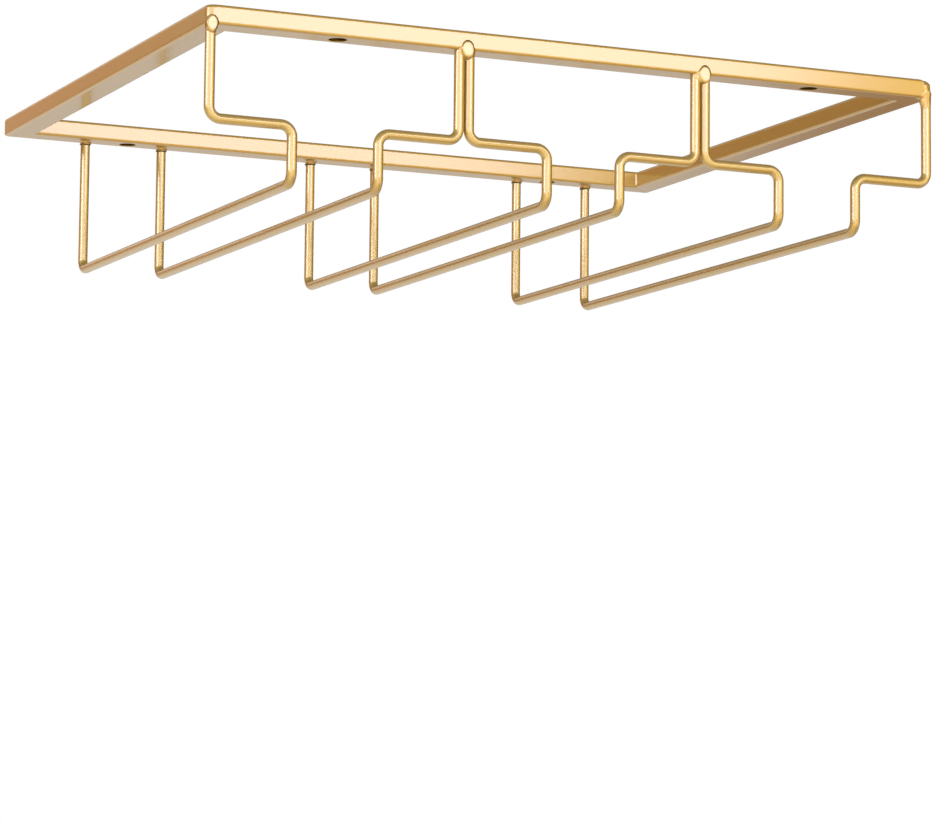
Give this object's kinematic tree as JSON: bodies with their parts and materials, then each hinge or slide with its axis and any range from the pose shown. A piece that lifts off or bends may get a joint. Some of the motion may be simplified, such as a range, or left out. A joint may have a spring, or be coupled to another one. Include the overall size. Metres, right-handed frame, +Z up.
{
  "type": "hanging stemware rack",
  "caption": "Under-shelf rack of bent wire rails welded below a flat tube frame, which holds stemmed glasses upside down by their feet in open-fronted lanes.",
  "frame": {"origin": "middle of the rack's footprint, level with the underside of the rails", "axes": "+X along the front tube, to the right as seen from the front; -Y towards the front, where the glasses go in; +Z up, towards the shelf that the frame is screwed to"},
  "size_m": [0.331, 0.269, 0.07],
  "materials": {
    "frame_gold": "satin gold coating on steel tube",
    "wire_gold": "satin gold coating on steel wire",
    "weld_gold": "satin gold coating over dressed weld metal"
  },
  "bodies": {
    "root": {"front_tube": "frame_gold", "right_tube": "frame_gold", "back_tube": "frame_gold", "left_tube": "frame_gold", "left_lane_left_wire": "wire_gold", "left_lane_right_wire": "wire_gold", "middle_lane_left_wire": "wire_gold", "middle_lane_right_wire": "wire_gold", "right_lane_left_wire": "wire_gold", "right_lane_right_wire": "wire_gold", "front_left_weld": "weld_gold", "front_left_middle_weld": "weld_gold", "front_right_middle_weld": "weld_gold", "front_right_weld": "weld_gold", "left_lane_left_rear_weld": "weld_gold", "left_lane_right_rear_weld": "weld_gold", "middle_lane_left_rear_weld": "weld_gold", "middle_lane_right_rear_weld": "weld_gold", "right_lane_left_rear_weld": "weld_gold", "right_lane_right_rear_weld": "weld_gold", "front_left_corner_weld": "weld_gold", "front_right_corner_weld": "weld_gold", "back_right_corner_weld": "weld_gold", "back_left_corner_weld": "weld_gold"}
  },
  "joints": []
}
